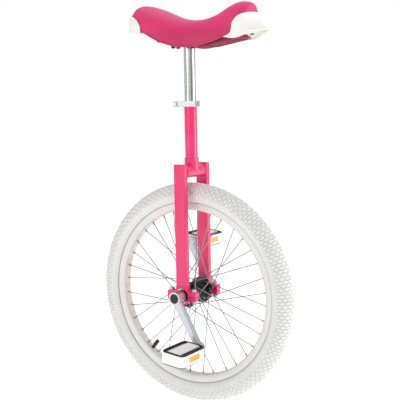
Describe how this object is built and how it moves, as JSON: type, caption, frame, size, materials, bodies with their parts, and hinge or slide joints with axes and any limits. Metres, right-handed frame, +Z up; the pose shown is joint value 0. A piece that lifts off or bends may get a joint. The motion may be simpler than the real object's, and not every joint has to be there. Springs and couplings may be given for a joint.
{
  "type": "unicycle",
  "caption": "Single-wheel pedal cycle with a spoked pneumatic wheel, a two-legged fork, fixed cranks, turning pedals and a height-adjustable padded saddle.",
  "frame": {"origin": "on the ground, straight below the wheel axle, where the tyre touches", "axes": "+Z up, +X forward (towards the saddle nose), +Y to the rider's left along the axle"},
  "size_m": [0.508, 0.376, 0.911],
  "materials": {
    "tyre": "matte off-white rubber with fine tread grooves",
    "tube_rubber": "matte",
    "rim_tape": "matte",
    "rim": "satin cream paint",
    "spoke_steel": "plain drawn steel",
    "nipple_metal": "nickel-plated",
    "black_rubber": "matte",
    "black_plastic": "moulded, satin",
    "hub_metal": "black satin",
    "axle_steel": "machined",
    "bearing_steel": "ground",
    "frame_paint": "gloss pink powder coat",
    "bolt_steel": "zinc-plated",
    "clamp_metal": "polished",
    "lever_metal": "polished",
    "post_chrome": "bright chrome",
    "black_bolt": "blackened steel",
    "saddle_vinyl": "satin pink vinyl",
    "foam": "open-cell foam",
    "base_plastic": "dark magenta, moulded",
    "bumper_plastic": "white, moulded",
    "crank_metal": "satin silver",
    "pedal_plastic": "white, moulded",
    "tread_plastic": "black, moulded",
    "reflector": "orange, prismatic"
  },
  "bodies": {
    "frame": {"seat_tube": "frame_paint", "crown_tube": "frame_paint", "crown_lug": "frame_paint", "right_leg": "frame_paint", "left_leg": "frame_paint", "right_bearing_holder": "frame_paint", "left_bearing_holder": "frame_paint", "right_bearing_cap": "frame_paint", "left_bearing_cap": "frame_paint", "clamp_bolts": "bolt_steel", "clamp_washers": "bolt_steel", "clamp_nuts": "bolt_steel", "bearing_outer_rings": "bearing_steel", "bearing_seals": "black_rubber", "seat_clamp_collar": "clamp_metal", "clamp_skewer": "bolt_steel", "skewer_nut": "clamp_metal", "lever_pin": "bolt_steel"},
    "lever": {"quick_release_lever": "lever_metal"},
    "saddle": {"seat_post": "post_chrome", "seat_plate": "post_chrome", "saddle_bolts": "black_bolt", "saddle_nuts": "black_bolt", "saddle_base": "base_plastic", "saddle_foam": "foam", "saddle_cover": "saddle_vinyl", "front_bumper": "bumper_plastic", "rear_bumper": "bumper_plastic", "bumper_screws": "black_bolt"},
    "wheel": {"tyre": "tyre", "inner_tube": "tube_rubber", "rim_tape": "rim_tape", "rim": "rim", "right_spokes": "spoke_steel", "left_spokes": "spoke_steel", "spoke_nipples": "nipple_metal", "valve_stem": "black_rubber", "valve_cap": "black_plastic", "hub_barrel": "hub_metal", "hub_flanges": "hub_metal", "axle": "axle_steel", "axle_spacers": "axle_steel", "bearing_inner_rings": "bearing_steel", "right_crank": "crank_metal", "left_crank": "crank_metal", "crank_bolts": "bolt_steel", "dust_caps": "black_plastic", "right_pedal_spindle": "bolt_steel", "left_pedal_spindle": "bolt_steel", "pedal_nuts": "bolt_steel"},
    "right_balls": {"right_bearing_balls": "bearing_steel"},
    "left_balls": {"left_bearing_balls": "bearing_steel"},
    "right_pedal": {"right_pedal_body": "pedal_plastic", "right_pedal_treads": "tread_plastic", "right_pedal_reflectors": "reflector", "right_pedal_cap": "pedal_plastic"},
    "left_pedal": {"left_pedal_body": "pedal_plastic", "left_pedal_treads": "tread_plastic", "left_pedal_reflectors": "reflector", "left_pedal_cap": "pedal_plastic"}
  },
  "joints": [
    {"name": "wheel_spin", "type": "hinge", "parent": "frame", "child": "wheel", "pos_m": [0, 0, 0.254], "axis": [0, 1, 0], "continuous": true},
    {"name": "right_ball_orbit", "type": "hinge", "parent": "frame", "child": "right_balls", "pos_m": [0, -0.046, 0.254], "axis": [0, 1, 0], "continuous": true},
    {"name": "left_ball_orbit", "type": "hinge", "parent": "frame", "child": "left_balls", "pos_m": [0, 0.046, 0.254], "axis": [0, 1, 0], "continuous": true},
    {"name": "right_pedal_spin", "type": "hinge", "parent": "wheel", "child": "right_pedal", "pos_m": [0.0618, -0.142, 0.15114], "axis": [0, 1, 0], "continuous": true},
    {"name": "left_pedal_spin", "type": "hinge", "parent": "wheel", "child": "left_pedal", "pos_m": [-0.0618, 0.142, 0.35686], "axis": [0, 1, 0], "continuous": true},
    {"name": "seat_post_slide", "type": "slide", "parent": "frame", "child": "saddle", "axis": [0, 0, 1], "range_m": [-0.04, 0.037]},
    {"name": "release_lever", "type": "hinge", "parent": "frame", "child": "lever", "pos_m": [-0.021, -0.0213, 0.686], "axis": [0, 0, -1], "range_deg": [0, 170]}
  ],
  "couplings": [
    {"joint": "right_ball_orbit", "follows": "wheel_spin", "ratio": 0.4085},
    {"joint": "left_ball_orbit", "follows": "wheel_spin", "ratio": 0.4085}
  ]
}
